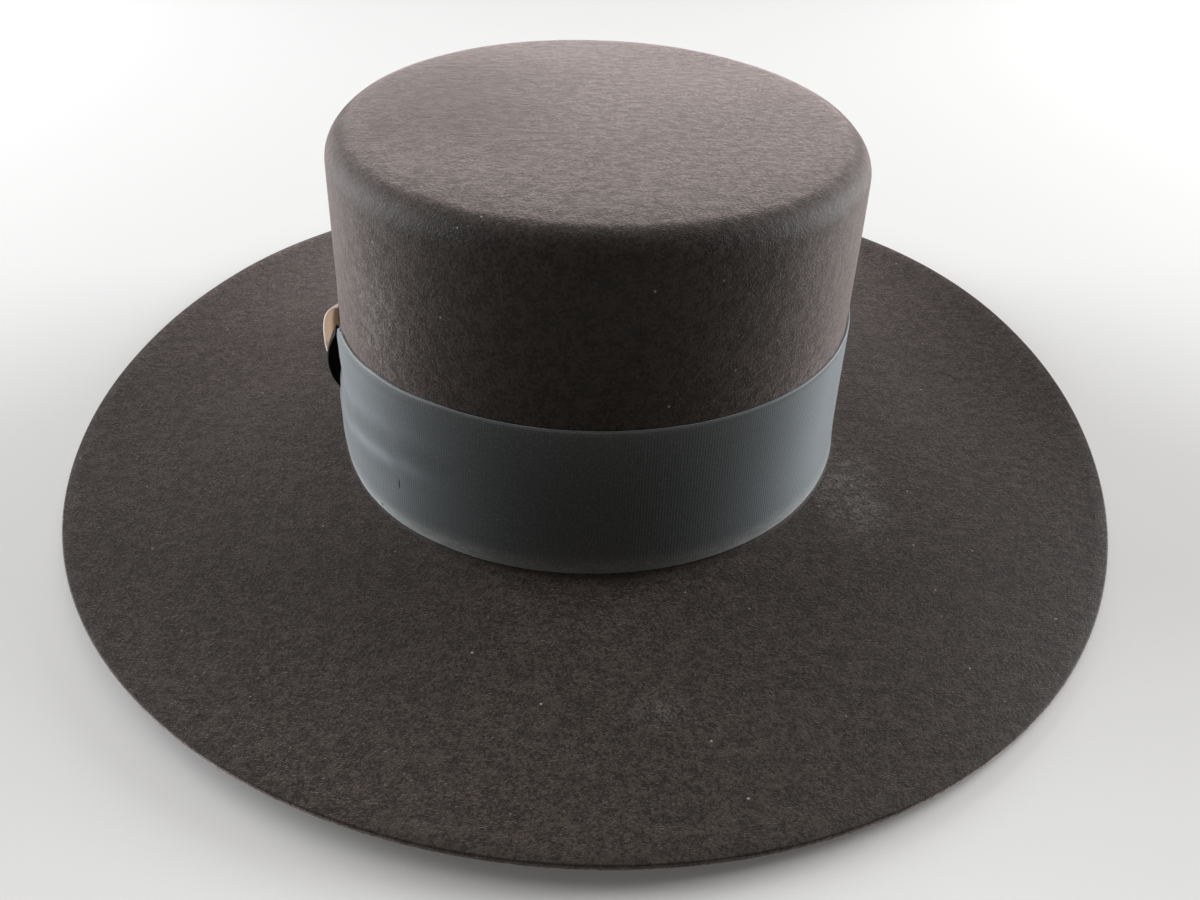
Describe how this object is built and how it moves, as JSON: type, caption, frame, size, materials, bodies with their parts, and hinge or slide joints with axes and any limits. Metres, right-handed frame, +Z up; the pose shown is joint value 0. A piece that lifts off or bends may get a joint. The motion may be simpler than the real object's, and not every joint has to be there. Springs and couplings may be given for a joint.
{
  "type": "flat brim hat",
  "caption": "Stiff felt hat with a flat-topped crown and a wide level brim, a corded ribbon round the crown and a small side feather; worn on the head.",
  "frame": {"origin": "middle of the hat's plan, on the surface that the underside of the brim rests on", "axes": "+Z up through the crown, +Y along the length of the head away from the side that faces the viewer, +X to that viewer's right; the trim is at -X"},
  "size_m": [0.348, 0.392, 0.1072],
  "materials": {
    "felt": "matt brushed fur felt, dark brown-grey",
    "ribbon": "corded ribbon, charcoal with a pale sheen",
    "knot": "matt black ribbon",
    "feather": "tan feather with fine streaks"
  },
  "bodies": {
    "root": {"felt_body": "felt", "ribbon_band": "ribbon", "ribbon_knot": "knot", "tan_feather": "feather"}
  },
  "joints": []
}
